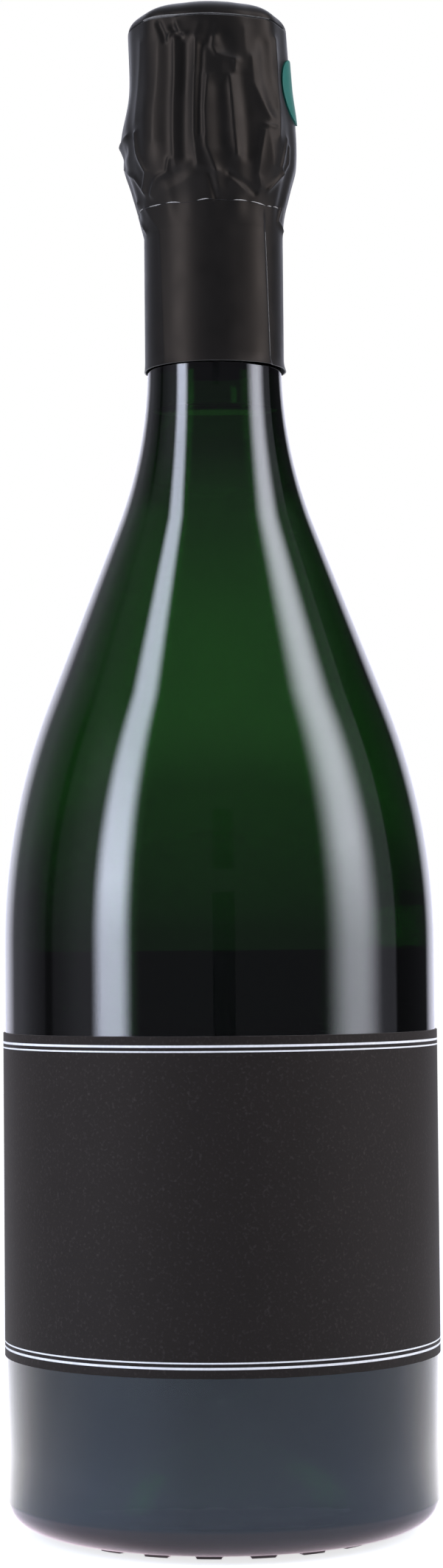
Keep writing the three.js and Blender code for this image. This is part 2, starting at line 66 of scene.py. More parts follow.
# Glass bottle: one blown piece of very dark green glass, with a domed punt, a ring of raised pads to
# stand on, sloping shoulders, and a mouth with a collar for the wire and a rounded crown lip.
# Sizes are in millimetres, and turns go from the front towards +X.
glass_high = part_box("glass_bottle")[1] / MM
BODY_RADIUS = glass_high.x
MOUTH_TOP = glass_high.z
BODY_WALL = 4.8
GLASS_STEPS = 360
SHOULDER_START = 119
SHOULDER_CURVE = 136
SHOULDER_SLOPE = radians(21.5)
NECK_CURVE = 93
NECK_RADIUS = 13.85
NECK_TOP_RADIUS = 14.05
NECK_START = MOUTH_TOP - 57.35
BORE_RADIUS = 9
BORE_BOTTOM = MOUTH_TOP - 28
LIP_RADIUS = 14.5
LIP_BOTTOM = MOUTH_TOP - 5.9
GROOVE_RADIUS = 13.4
COLLAR_RADIUS = 15.4
COLLAR_TOP = LIP_BOTTOM - 2.2
COLLAR_BOTTOM = COLLAR_TOP - 6
RECESS_RADIUS = 13.3
RECESS_BOTTOM = COLLAR_BOTTOM - 4.6
PAD_COUNT = 20
PAD_LENGTH = 5.4
PAD_WIDTH = 2.6
PAD_HEIGHT = 1
PAD_TURN = radians(-5)
PAD_EDGE = 0.4
PUNT_RADIUS = 29
PUNT_DEPTH = 30
BASE_WALL = 5.5
BEARING_INNER = 31.2
BEARING_OUTER = 35.05
HEEL_HEIGHT = 7
HEEL_SQUARENESS = 0.89
MOULD_SEAM = 6.8
MOULD_RISE = 0.12
MOULD_WIDTH = 0.5


def linear(colour):
    """An sRGB hex colour as linear red, green, blue and alpha."""
    shares = [int(colour[i : i + 2], 16) / 255 for i in (1, 3, 5)]
    return [s / 12.92 if s <= 0.04045 else ((s + 0.055) / 1.055) ** 2.4 for s in shares] + [1]


def add_node(tree, kind, *inputs, **settings):
    """A node of that kind in the tree, with its settings made and its inputs set or linked.
    Inputs come in order or named in a dictionary. A node stands for the first output that it has in use,
    and a hex colour for its linear one."""
    made = tree.nodes.new("ShaderNode" + kind)
    for name, value in settings.items():
        setattr(made, name, value)
    named = inputs and isinstance(inputs[0], dict)
    for key, value in inputs[0].items() if named else enumerate(inputs):
        if isinstance(value, bpy.types.Node):
            value = next(output for output in value.outputs if output.enabled)
        if isinstance(value, bpy.types.NodeSocket):
            tree.links.new(value, made.inputs[key])
        else:
            made.inputs[key].default_value = linear(value) if isinstance(value, str) else value
    return made


def emptied(made):
    """The material, light or world with an empty node tree, and a function that adds a node to it."""
    made.use_nodes = True
    made.node_tree.nodes.clear()
    return made, partial(add_node, made.node_tree)


def material(name):
    """A new material and the function that adds a node to it."""
    return emptied(bpy.data.materials.new(name))


def around(turn, radius, height):
    """The point in metres at a turn, with its radius and height in millimetres."""
    return MM * radius * sin(turn), -MM * radius * cos(turn), MM * height


def evenly(start, stop, steps):
    """Values from start to stop in even steps, with both ends."""
    return [start + (stop - start) * i / steps for i in range(steps + 1)]


def arc(centre, radius, start, stop, steps):
    """Points of a circular arc in the plane of radius and height."""
    return [(centre[0] + radius * cos(a), centre[1] + radius * sin(a)) for a in evenly(start, stop, steps)]


def rounded(corners, steps=6):
    """A line through corners of radius, height and rounding."""
    line = []
    for i, (x, y, rounding) in enumerate(corners):
        here = Vector((x, y))
        if rounding == 0:
            line.append((x, y))
            continue
        back = (Vector(corners[i - 1][:2]) - here).normalized()
        ahead = (Vector(corners[i + 1][:2]) - here).normalized()
        half = back.angle(ahead) / 2
        middle = here + (back + ahead).normalized() * rounding / sin(half)
        start = here + back * rounding / tan(half) - middle
        stop = here + ahead * rounding / tan(half) - middle
        sweep = atan2(start.x * stop.y - start.y * stop.x, start.dot(stop))
        first = atan2(start.y, start.x)
        line += arc(middle, rounding, first, first + sweep, steps)
    return line


def quads(rows, count, joined=True, whole=False, capped=False, first=0):
    """Faces between rows of so many points. Joined closes each row on itself, whole joins the last row
    to the first, and capped fills the first row and the last."""
    faces = []
    for i in range(rows if whole else rows - 1):
        here = first + i * count
        after = first + (i + 1) % rows * count
        for j in range(count if joined else count - 1):
            k = (j + 1) % count
            faces.append((here + j, after + j, after + k, here + k))
    if capped:
        last = first + (rows - 1) * count
        faces.append(tuple(range(first, first + count)))
        faces.append(tuple(reversed(range(last, last + count))))
    return faces


def turned(profile_at, steps, sweep=2 * pi, joined=True):
    """Points and faces of a profile turned round the axis, evenly to both sides of the front.
    The profile gives radius and height at a turn, and joined closes it on itself."""
    whole = sweep > 2 * pi - 1e-6
    turns = [sweep * (i / steps - 0.5) for i in range(steps if whole else steps + 1)]
    rows = [[around(turn, *point) for point in profile_at(turn)] for turn in turns]
    faces = quads(len(rows), len(rows[0]), joined, whole, not whole)
    return [point for row in rows for point in row], faces


def piece(name, points, faces, materials, sharp=35):
    """A smooth mesh object with its meeting points merged and its corners over an angle kept sharp."""
    mesh = bpy.data.meshes.new(name)
    mesh.from_pydata(points, [], faces)
    work = bmesh.new()
    work.from_mesh(mesh)
    bmesh.ops.remove_doubles(work, verts=work.verts, dist=1e-6)
    work.to_mesh(mesh)
    work.free()
    for look in materials:
        mesh.materials.append(look)
    mesh.shade_smooth()
    mesh.set_sharp_from_angle(angle=radians(sharp))
    made = bpy.data.objects.new(name, mesh)
    scene.collection.objects.link(made)
    return made


def ramp(place, start, stop):
    """A smooth rise from 0 at the start to 1 at the stop."""
    share = min(1, max(0, (place - start) / (stop - start)))
    return share * share * (3 - 2 * share)


def swell(offset, width):
    """A bump of height 1 that dies away over a width."""
    return exp(-((offset / width) ** 2))


def wall_line(inset):
    """The wall from the straight body over the shoulder to the neck, set in by an amount."""
    shoulder = (BODY_RADIUS - SHOULDER_CURVE, SHOULDER_START)
    neck = (NECK_RADIUS + NECK_CURVE, NECK_START)
    line = arc(shoulder, SHOULDER_CURVE - inset, 0, SHOULDER_SLOPE, 18)
    return line + arc(neck, NECK_CURVE + inset, pi + SHOULDER_SLOPE, pi, 18)


def inside_line(inset):
    """The inside of the glass from the neck down to the axis, set in by an amount."""
    wall = BODY_RADIUS - BODY_WALL - inset
    trough = BEARING_OUTER - 0.5
    trough_bottom = PAD_HEIGHT + BASE_WALL + 0.3 + inset
    heel_top = PAD_HEIGHT + 2.2 * HEEL_HEIGHT
    dome = PUNT_RADIUS + 0.8 * BASE_WALL + inset
    line = wall_line(BODY_WALL + inset)[::-1]
    for a in evenly(0, pi / 2, 10):
        line.append((trough + (wall - trough) * cos(a), heel_top - (heel_top - trough_bottom) * sin(a)))
    for a in evenly(radians(80), 0, 16):
        line.append((dome * sin(a), PAD_HEIGHT + (PUNT_DEPTH + BASE_WALL + inset) * cos(a)))
    return line


def base_line(turn):
    """The outside of the base at a turn, from the top of the punt over the pads and the heel."""
    line = [(PUNT_RADIUS * sin(a), PAD_HEIGHT + PUNT_DEPTH * cos(a)) for a in evenly(0, radians(82), 20)]
    lip = rounded([(*line[-1], 0), (PUNT_RADIUS + 0.4, PAD_HEIGHT, 2.2), (BEARING_INNER, PAD_HEIGHT, 0)])
    line += lip[1:-1]
    spacing = 2 * pi / PAD_COUNT
    middle = (BEARING_INNER + BEARING_OUTER) / 2
    along = abs((turn - PAD_TURN + spacing / 2) % spacing - spacing / 2) * middle
    length_share = 1 - ramp(along, PAD_LENGTH / 2 - PAD_EDGE, PAD_LENGTH / 2 + PAD_EDGE)
    for radius in evenly(BEARING_INNER, BEARING_OUTER, 12):
        width_share = 1 - ramp(abs(radius - middle), PAD_WIDTH / 2 - PAD_EDGE, PAD_WIDTH / 2 + PAD_EDGE)
        line.append((radius, PAD_HEIGHT * (1 - length_share * width_share)))
    for a in evenly(0, pi / 2, 40)[1:]:
        radius = BEARING_OUTER + (BODY_RADIUS - BEARING_OUTER) * sin(a) ** HEEL_SQUARENESS
        height = PAD_HEIGHT + HEEL_HEIGHT * (1 - cos(a) ** HEEL_SQUARENESS)
        line.append((radius + MOULD_RISE * swell(height - MOULD_SEAM, MOULD_WIDTH), height))
    return line


mouth_line = rounded([
    (NECK_TOP_RADIUS, NECK_START + 8, 0), (NECK_TOP_RADIUS, RECESS_BOTTOM - 1.2, 0.8),
    (RECESS_RADIUS, RECESS_BOTTOM, 0.8), (RECESS_RADIUS, COLLAR_BOTTOM, 0.5),
    (COLLAR_RADIUS, COLLAR_BOTTOM, 0.8), (COLLAR_RADIUS, COLLAR_TOP - 1.4, 1.2),
    (GROOVE_RADIUS, COLLAR_TOP, 0.6), (GROOVE_RADIUS, LIP_BOTTOM - 0.4, 0.4),
    (LIP_RADIUS, LIP_BOTTOM + 0.4, 0.5), (LIP_RADIUS, MOUTH_TOP, 1.3),
    (BORE_RADIUS, MOUTH_TOP, 1.3), (BORE_RADIUS, BORE_BOTTOM, 0),
])

# Soda-lime bottle glass, coloured through and fire polished: clear gloss with a faint mould ripple.
# Nearly all red and blue is lost in the two walls, so only a deep green comes through.
RIPPLE_MM = 14
SMEAR_MM = 9
green_glass, add = material("soda_lime_bottle_glass")
place = add("TexCoord").outputs["Object"]
ripple = add("TexNoise", {"Vector": place, "Scale": 1 / (RIPPLE_MM * MM), "Detail": 1})
smear = add("TexNoise", {"Vector": place, "Scale": 1 / (SMEAR_MM * MM), "Detail": 4})
gloss = add("MapRange", smear, 0.45, 0.75, 0.02, 0.05)
relief = add("Bump", {"Height": ripple, "Strength": 0.02, "Distance": 0.4 * MM})
shine = add("BsdfPrincipled", {
    "Base Color": "#ffffff", "Roughness": gloss, "IOR": 1.52, "Transmission Weight": 1, "Normal": relief,
})
depth = add("VolumeAbsorption", {"Color": "#4eae30", "Density": 620})
add("OutputMaterial", shine, depth)

upper_glass = wall_line(0) + mouth_line + inside_line(0)
glass_mesh = turned(lambda turn: base_line(turn) + upper_glass, GLASS_STEPS, joined=False)
bottle_glass = piece("bottle_glass", *glass_mesh, [green_glass])
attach(bottle_glass, "bottle")
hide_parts("glass_bottle")

# Wine: a pale gold liquid that fills the glass up to the neck and creeps up its wall at the edge.
# It overlaps the glass by a hair, so that light goes from the glass into it with no film of air.
WINE_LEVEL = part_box("wine")[1].z / MM
WINE_OVERLAP = 0.2
MENISCUS_RISE = 1.3
MENISCUS_WIDTH = 3.5
WINE_STEPS = 120
wine_wall = [point for point in inside_line(-WINE_OVERLAP) if point[1] < WINE_LEVEL]
wine_edge = NECK_RADIUS + NECK_CURVE - sqrt(
    (NECK_CURVE + BODY_WALL - WINE_OVERLAP) ** 2 - (NECK_START - WINE_LEVEL - MENISCUS_RISE) ** 2
)
wine_top = []
for creep in evenly(0, 1, 12):
    wine_top.append((wine_edge - MENISCUS_WIDTH * (1 - creep), WINE_LEVEL + MENISCUS_RISE * creep**3))
wine_line = [(0, WINE_LEVEL)] + wine_top + wine_wall

# White wine under pressure: water clear with a straw tint, and its index a little above water's.
# Its surface is dulled by the raft of fine bubbles that clings there.
wine_looks = []
for name, roughness in (("straw_wine", 0), ("straw_wine_surface", 0.4)):
    wine_look, add = material(name)
    body = add("BsdfPrincipled", {
        "Base Color": "#ffffff", "Roughness": roughness, "IOR": 1.345, "Transmission Weight": 1,
    })
    tint = add("VolumeAbsorption", {"Color": "#f5e6b0", "Density": 2})
    add("OutputMaterial", body, tint)
    wine_looks.append(wine_look)

wine_fill = piece("wine_fill", *turned(lambda turn: wine_line[::-1], WINE_STEPS, joined=False), wine_looks)
for face in wine_fill.data.polygons:
    if face.normal.z > 0.3 and face.center.z > (WINE_LEVEL - 0.1) * MM:
        face.material_index = 1
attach(wine_fill, "bottle")
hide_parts("wine")

# Label: a sheet of uncoated black paper, wet-glued round the straight body past both edges of the view.
# White double rules are printed along its top and bottom, and its cut edge shows a paler core.
label_low, label_high = (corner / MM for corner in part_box("front_label"))
LABEL_OUTER = -label_low.y
LABEL_INNER = BODY_RADIUS + 0.06
LABEL_WRAP = radians(300)
LABEL_STEPS = 200
RULE_OUTER = (1.7, 2.15)
RULE_INNER = (2.8, 3.1)
label_bottom, label_top = label_low.z, label_high.z
rule_bands = [(label_bottom + low, label_bottom + high) for low, high in (RULE_OUTER, RULE_INNER)]
rule_bands += [(label_top - high, label_top - low) for low, high in (RULE_OUTER, RULE_INNER)]
row_heights = sorted({label_bottom, label_top}.union(*rule_bands))
label_line = [(LABEL_OUTER, height) for height in row_heights]
label_line += [(LABEL_INNER, label_top), (LABEL_INNER, label_bottom)]

# Uncoated paper printed solid black: matt, with a felt grain whose raised fibres are drawn paler, a painted
# highlight that follows the bumps.
# The felt is really about 0.2 mm, and is drawn at 0.6 mm so that it shows.
FELT_MM = 0.6
MOTTLE_MM = 7
black_paper, add = material("uncoated_black_paper")
place = add("TexCoord").outputs["Object"]
felt = add("TexNoise", {"Vector": place, "Scale": 1 / (FELT_MM * MM), "Detail": 3})
mottle = add("TexNoise", {"Vector": place, "Scale": 1 / (MOTTLE_MM * MM), "Detail": 4})
ink = add("Mix", {"Factor": mottle, "A": "#120f0d", "B": "#181412"}, data_type="RGBA")
# Painted highlight: where the felt stands highest, the ink is mixed towards a pale grey.
fleck = add("MapRange", felt, 0.55, 0.85, 0, 0.25)
ink_and_painted_glints = add("Mix", {"Factor": fleck, "A": ink, "B": "#5a5350"}, data_type="RGBA")
relief = add("Bump", {"Height": felt, "Strength": 0.35, "Distance": 0.08 * MM})
paper = add("BsdfPrincipled", {
    "Base Color": ink_and_painted_glints, "Roughness": 0.7, "Normal": relief,
    "Specular IOR Level": 0.22, "Specular Tint": "#fff0e0",
    "Sheen Weight": 0.1, "Sheen Roughness": 0.4, "Sheen Tint": "#fff1e8",
})
add("OutputMaterial", paper)


def two_toned(name, grain_mm, detail, dark, light, surface):
    """A material whose colour wanders between two over a grain of that size."""
    made, add = material(name)
    place = add("TexCoord").outputs["Object"]
    grain = add("TexNoise", {"Vector": place, "Scale": 1 / (grain_mm * MM), "Detail": detail})
    colour = add("Mix", {"Factor": grain, "A": dark, "B": light}, data_type="RGBA")
    add("OutputMaterial", add("BsdfPrincipled", {"Base Color": colour, **surface}))
    return made


# White screen ink on the same paper, whose felt still shows a little
white_ink = two_toned("white_screen_ink", FELT_MM, 3, "#d9d8d4", "#f6f6f4", {"Roughness": 0.6})

# The cut edge of the paper, pale and frayed where the ink hasn't soaked in
paper_core = two_toned("cut_paper_edge", FELT_MM, 2, "#4a4644", "#b8b3ad", {"Roughness": 0.9})

label_mesh = turned(lambda turn: label_line, LABEL_STEPS, LABEL_WRAP)
label_sheet = piece("label_sheet", *label_mesh, [black_paper, white_ink, paper_core])
for face in label_sheet.data.polygons:
    height = face.center.z / MM
    radius = hypot(face.center.x, face.center.y) / MM
    if any(low < height < high for low, high in rule_bands) and radius > LABEL_OUTER - 0.05:
        face.material_index = 1
    elif abs(face.normal.z) > 0.5 or len(face.vertices) > 4:
        face.material_index = 2
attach(label_sheet, "bottle")
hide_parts("front_label")

# Foil skirt: the lower part of the capsule, a tube of lacquered aluminium laminate with a glued side
# seam, rolled tight on the neck. Its top is cut along the perforated tear line, where it starts to gather.
skirt_low, skirt_high = (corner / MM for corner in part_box("foil_skirt"))
hood_low, hood_high = (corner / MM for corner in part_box("foil_hood"))
SKIRT_BOTTOM = skirt_low.z
TEAR_LINE = (skirt_high.z + hood_low.z) / 2
DISC_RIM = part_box("foil_top_disc")[0].z / MM
FOIL = 0.25
SKIRT_RADIUS = NECK_TOP_RADIUS + 0.35
GATHER_START = TEAR_LINE - 4.8
BELT_HEIGHT = COLLAR_BOTTOM - 1.85
LEG_TURNS = [radians(45 + 90 * i) for i in range(4)]
LEG_RIDGE = 0.85
LEG_SPREAD = radians(11)
EYE_TURN = radians(270)
EYE_HEIGHT = BELT_HEIGHT + 4.7
EYE_BULGE = 0.9
EYE_SPREAD = radians(15)
EYE_SPAN = 5.5
STICKER_TURN = radians(81.5)
STICKER_HEIGHT = MOUTH_TOP - 1.3
CALM_SPREAD = radians(32)
CALM_SPAN = 12
SEAM_TURN = radians(53)
SEAM_LEAN = radians(0.2)
SEAM_RISE = 0.45
SEAM_WIDTH = 8
FLARE_HEIGHT = 2.4
FOIL_STEPS = 400
FOIL_SHARP = 50
foil_rows = [
    (GATHER_START, SKIRT_RADIUS), (TEAR_LINE, SKIRT_RADIUS + 0.75), ((TEAR_LINE + BELT_HEIGHT) / 2, 16.5),
    (BELT_HEIGHT - 0.45, 17.7), (COLLAR_TOP, 17.7), (MOUTH_TOP, 16.8), (DISC_RIM, 16.5),
]
shift_rows = [(GATHER_START, 0), (TEAR_LINE, 0.35), (MOUTH_TOP, 0.5), (DISC_RIM, 1)]
pleat_rows = [(GATHER_START, 0), (TEAR_LINE, 0.3), (BELT_HEIGHT, 0.3), (MOUTH_TOP, 0.15), (DISC_RIM, 0.09)]
ridge_rows = [(TEAR_LINE, 0), (BELT_HEIGHT - 2.3, LEG_RIDGE), (DISC_RIM, LEG_RIDGE)]


def eased(rows, place):
    """A smooth curve through pairs of place and value in rising order, flat outside them."""
    if place <= rows[0][0]:
        return rows[0][1]
    if place >= rows[-1][0]:
        return rows[-1][1]
    i = max(k for k, row in enumerate(rows) if row[0] <= place)

    def steepness(k):
        low, high = rows[max(k - 1, 0)], rows[min(k + 1, len(rows) - 1)]
        return (high[1] - low[1]) / (high[0] - low[0])

    width = rows[i + 1][0] - rows[i][0]
    t = (place - rows[i][0]) / width
    rise = 3 * t * t - 2 * t**3
    pull = width * t * (1 - t) * (steepness(i) * (1 - t) - steepness(i + 1) * t)
    return rows[i][1] * (1 - rise) + rows[i + 1][1] * rise + pull


def off_turn(turn, middle):
    """How far a turn is from another, the short way round."""
    return (turn - middle + pi) % (2 * pi) - pi


# Folds that the gathering left: how far each stands out, its width, and turns and heights along its crest
front_folds = [
    (0.25, 1.6, [(-56, 303.8), (-59, 296.5), (-59, 288.1)]),
    (0.3, 1.3, [(-38, 302.6), (-39, 292.4), (-40, 282.8)]),
    (0.55, 0.9, [(-26, 303.2), (-26, 289.1), (-26, 277)]),
    (-0.45, 1.2, [(-19, 301.8), (-19, 291.7), (-19, 279.2)]),
    (0.5, 0.6, [(-11, 303), (-12, 294.2), (-12, 283.2), (-10, 276.9)]),
    (-0.35, 0.7, [(-7, 301.6), (-8, 294.2), (-8, 283.2)]),
    (0.55, 0.7, [(-3, 295.2), (-5, 288.6), (-4, 280.6), (2, 275.7)]),
    (0.45, 0.6, [(1, 303.2), (0, 301.3), (3, 299.7), (16, 298.7)]),
    (0.35, 0.45, [(16, 298.7), (16, 296.5)]),
    (0.35, 1.8, [(7, 298.2), (7, 295.8)]),
    (-0.5, 1.9, [(5, 292.8), (5, 287.2), (6, 281.5)]),
    (0.5, 0.6, [(12, 295), (13, 290.1), (14, 284.6), (16, 278.8)]),
    (-0.4, 1.5, [(21, 295.4), (23, 286.1), (24, 279.3)]),
    (-0.4, 1.5, [(8, 303.2), (11, 301.4)]),
    (0.25, 1.5, [(24, 305.5), (25, 299.4)]),
    (0.45, 1.1, [(29, 299.6), (30, 294.1), (35, 290.4), (40, 287.3)]),
    (-0.5, 1.6, [(40, 302.5), (41, 295.1), (44, 289.8)]),
    (0.5, 0.7, [(51, 304.3), (52, 298.5), (49, 290), (47, 283.8)]),
    (0.35, 0.5, [(36, 285.6), (43, 285.4)]),
    (0.5, 0.5, [(35, 284.3), (33, 279.6), (33, 275.7), (37, 273.3)]),
    (0.35, 1.2, [(38, 285), (41, 281.3), (44, 277.8)]),
    (0.4, 0.5, [(59, 283.9), (54, 279.8), (53, 277.8), (57, 276.3)]),
    (0.5, 0.5, [(63, 282.5), (64, 279), (53, 275.3), (45, 272.9)]),
    (0.5, 0.5, [(-59, 285.3), (-57, 281), (-50, 276.7), (-58, 273.8)]),
    (0.5, 0.5, [(-30, 278.5), (-33, 275.9), (-41, 275.1), (-51, 272.3)]),
    (0.4, 0.5, [(-88, 279.8), (-68, 276.7), (-58, 273)]),
    (0.4, 1, [(2, 275.7), (4, 272.7)]),
    (-0.4, 0.7, [(-2, 275.1), (2, 270.7)]),
    (-0.35, 0.7, [(12, 275.5), (20, 274), (34, 272.2)]),
    (0.3, 0.8, [(14, 274.1), (25, 272.4)]),
    (-0.4, 0.6, [(-38, 306.8), (-33, 303.2)]),
    (0.35, 0.45, [(-32, 303.2), (-29, 304.6), (-19, 304.3)]),
    (-0.35, 0.7, [(-28, 305.6), (-22, 303.6)]),
    (0.3, 0.5, [(-25, 306.7), (-23, 304.7)]),
    (0.25, 1.2, [(-9, 306), (-12, 303.6)]),
    (-0.35, 1.2, [(-1, 306.2), (-3, 301.8)]),
    (0.3, 2, [(-33, 272.8), (-13, 275)]),
    (0.45, 0.6, [(-108, 284.2), (-90, 285), (-72, 285.6)]),
    (-0.35, 1.2, [(-100, 282.2), (-76, 282.6)]),
    (0.35, 0.6, [(-75, 271.9), (-87, 270), (-72, 266.1)]),
    (0.35, 0.6, [(71, 270.3), (67, 267.7), (81, 266.3)]),
    (0.12, 0.8, [(-64, 270.3), (-50, 265.2), (-48, 256.8), (-45, 238.3)]),
]
FOLD_RADIUS = 17
FOLD_REACH = 4
LEFT_STEEPNESS = 1.7
RIDGE_POWER = 1.3
FURROW_POWER = 2.2
BACK_FOLDS = 34
folds = []
for lift, width, crest in front_folds:
    folds.append((lift, width, [(radians(turn), height) for turn, height in crest]))
chance = random.Random(7)
for i in range(BACK_FOLDS):
    turn = radians(125 + 120 * chance.random())
    top = chance.uniform(280, 306)
    bottom = max(top - chance.uniform(6, 20), 271)
    bend = radians(chance.uniform(-5, 5))
    lift = chance.choice((-1, 1)) * chance.uniform(0.25, 0.5)
    folds.append((lift, chance.uniform(0.6, 1.5), [(turn, top), (turn + bend, bottom)]))


def fold_lift(turn, height):
    """How far all the folds together lift the foil at a place, measured on the foil laid flat.
    Ridges come to a crest that is steeper on its left, and furrows have a flat floor."""
    total = 0
    for lift, width, crest in folds:
        reach = FOLD_REACH * width
        heights = [corner[1] for corner in crest]
        if not min(heights) - reach < height < max(heights) + reach:
            continue
        start = crest[0][0]
        first = off_turn(start, turn)
        spots = [(FOLD_RADIUS * (first + at - start), level - height) for at, level in crest]
        nearest = reach
        for (x, y), (end_x, end_y) in zip(spots, spots[1:]):
            run, rise = end_x - x, end_y - y
            share = min(1, max(0, -(x * run + y * rise) / (run * run + rise * rise)))
            aside, above = x + share * run, y + share * rise
            nearest = min(nearest, hypot(aside if aside > 0 or lift < 0 else aside / LEFT_STEEPNESS, above))
        if nearest < reach:
            total += lift * exp(-((nearest / width) ** (RIDGE_POWER if lift > 0 else FURROW_POWER)))
    return total


def seam_edge(height):
    """The turn of the overlap's free edge at a height."""
    return SEAM_TURN - SEAM_LEAN * (height - SKIRT_BOTTOM)


def seam_lift(turn, height):
    """The glued overlap that runs down the side of the capsule: it stands off the neck before its edge."""
    before = off_turn(seam_edge(height), turn) * SKIRT_RADIUS
    return SEAM_RISE * ramp(before, -0.1, 0.8) * (1 - ramp(before, 0.8, SEAM_WIDTH))


def foil_radius(turn, height):
    """The outer radius of the capsule: gathered under the collar, ridged over the cage's legs,
    bulged over its eye, and calm under the sticker."""
    ridge = sum(swell(off_turn(turn, leg), LEG_SPREAD) for leg in LEG_TURNS)
    wave = cos(7 * turn + 0.7) + 0.8 * cos(12 * turn + 2.1) + 0.7 * cos(19 * turn)
    calm = 1 - swell(off_turn(turn, STICKER_TURN), CALM_SPREAD) * swell(height - STICKER_HEIGHT, CALM_SPAN)
    bulge = swell(off_turn(turn, EYE_TURN), EYE_SPREAD) * swell(height - EYE_HEIGHT, EYE_SPAN)
    return (
        eased(foil_rows, height)
        - eased(shift_rows, height) * sin(turn)
        + eased(pleat_rows, height) * wave / 2.5 * max(0, 1 - ridge) * calm
        + eased(ridge_rows, height) * ridge
        + EYE_BULGE * bulge
        + fold_lift(turn, height) * calm
        + seam_lift(turn, height) * (1 - ramp(height, GATHER_START, TEAR_LINE))
    )


def tear_height(turn):
    """The perforated line, which the gathering has puckered a little."""
    return TEAR_LINE + 0.15 * sin(5 * turn + 0.6) + 0.1 * sin(11 * turn + 2)


def skirt_line(turn):
    """The skirt's section at a turn: outside up to the tear line, and back down the inside."""
    flare = 0.3 + 0.2 * sin(turn + 0.5)
    heights = evenly(SKIRT_BOTTOM, SKIRT_BOTTOM + FLARE_HEIGHT, 12)
    heights += evenly(heights[-1], GATHER_START, 30)[1:]
    heights += evenly(GATHER_START, tear_height(turn) - 0.03, 24)[1:]
    outer = []
    for height in heights:
        foot = max(0, 1 - (height - SKIRT_BOTTOM) / FLARE_HEIGHT)
        outer.append((foil_radius(turn, height) + flare * foot**2, height))
    return outer + [(radius - FOIL, height) for radius, height in reversed(outer)]


# Black-lacquered aluminium laminate: a satin film with a fine roller grain, rubbed glossier in patches.
# The grain is really about 0.1 mm, and is drawn at 0.5 mm so that it shows.
GRAIN_MM = 0.5
RUB_MM = 6
black_foil, add = material("black_lacquered_foil")
place = add("TexCoord").outputs["Object"]
grain = add("TexNoise", {"Vector": place, "Scale": 1 / (GRAIN_MM * MM), "Detail": 2})
rub = add("TexNoise", {"Vector": place, "Scale": 1 / (RUB_MM * MM), "Detail": 5})
lacquer = add("Mix", {"Factor": rub, "A": "#10100f", "B": "#171615"}, data_type="RGBA")
satin = add("MapRange", rub, 0.3, 0.7, 0.4, 0.5)
relief = add("Bump", {"Height": grain, "Strength": 0.15, "Distance": 0.05 * MM})
film = add("BsdfPrincipled", {
    "Base Color": lacquer, "Roughness": satin, "Normal": relief, "Specular IOR Level": 0.15,
    "Specular Tint": "#ffe6cc", "Sheen Weight": 0.4, "Sheen Roughness": 0.3,
})
add("OutputMaterial", film)

# The raw cut of the laminate: its bare aluminium and white film, made light as a painted highlight too, so
# that the cut edges show as thin bright lines
cut_edge_glint = two_toned("cut_laminate_edge_glint", GRAIN_MM, 2, "#4a4743", "#c4c0b8", {"Roughness": 0.5})

capsule_skirt = piece("capsule_skirt", *turned(skirt_line, FOIL_STEPS), [black_foil, cut_edge_glint], FOIL_SHARP)
# The downward faces at the skirt's foot take the cut colour: bare laminate with a painted highlight.
for face in capsule_skirt.data.polygons:
    if face.normal.z < -0.8 and face.center.z < (SKIRT_BOTTOM + 0.1) * MM:
        face.material_index = 1
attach(capsule_skirt, "bottle")
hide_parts("foil_skirt")

# Seam cut: the free edge of the capsule's glued overlap, a hair of bare laminate with a painted highlight
# on it.
# The blade left it when the sheet was slit, and it shows from the skirt's foot up to the gather.
CUT_WIDTH = 0.09
CUT_ROWS = 48
cut_points = []
for height in evenly(SKIRT_BOTTOM + 0.3, GATHER_START - 0.7, CUT_ROWS):
    for side, lift in ((1, -0.1), (1, 0.05), (-1, 0.05), (-1, -0.1)):
        turn = seam_edge(height) + side * CUT_WIDTH / 2 / SKIRT_RADIUS
        cut_points.append(around(turn, foil_radius(turn, height) + lift, height))
seam_cut_glint = piece("seam_cut_glint", cut_points, quads(CUT_ROWS + 1, 4), [cut_edge_glint])
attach(seam_cut_glint, "bottle")

# Cork body: agglomerate cork, ground granules glued and moulded, pressed into the bore below and bulged
# into a mushroom head above the lip.
CLEARANCE = 0.25
CORK_RADIUS = BORE_RADIUS - CLEARANCE
CORK_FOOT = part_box("cork_body")[0].z / MM
cork_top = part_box("cork_body")[1].z / MM
HEAD_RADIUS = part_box("cork_body")[1].x / MM
HEAD_BOTTOM = MOUTH_TOP + CLEARANCE
CORK_STEPS = 96
cork_line = rounded([
    (0, CORK_FOOT, 0), (CORK_RADIUS, CORK_FOOT, 0.3), (CORK_RADIUS, HEAD_BOTTOM, 1),
    (HEAD_RADIUS, HEAD_BOTTOM, 1.6), (HEAD_RADIUS, cork_top - 0.3, 3.2), (0, cork_top, 0),
])

# Agglomerate cork: granules of 1 to 2 mm in several browns, darker along the joints between them, which the
# bump sinks
GRANULE_MM = 1.6
ground_cork, add = material("agglomerate_cork")
place = add("TexCoord").outputs["Object"]
granule = add("TexVoronoi", {"Vector": place, "Scale": 1 / (GRANULE_MM * MM)})
joint = add("TexVoronoi", {"Vector": place, "Scale": 1 / (GRANULE_MM * MM)}, feature="DISTANCE_TO_EDGE")
shade = add("SeparateColor", {"Color": granule.outputs["Color"]})
brown = add("Mix", {"Factor": shade.outputs["Red"], "A": "#8a5f35", "B": "#d0a574"}, data_type="RGBA")
glue = add("MapRange", joint, 0, 0.08, 0.55, 0)
bound = add("Mix", {"Factor": glue, "A": brown, "B": "#6e4a2a"}, data_type="RGBA")
relief = add("Bump", {"Height": joint, "Strength": 0.5, "Distance": 0.2 * MM})
crumb = add("BsdfPrincipled", {"Base Color": bound, "Roughness": 0.9, "Normal": relief})
add("OutputMaterial", crumb)

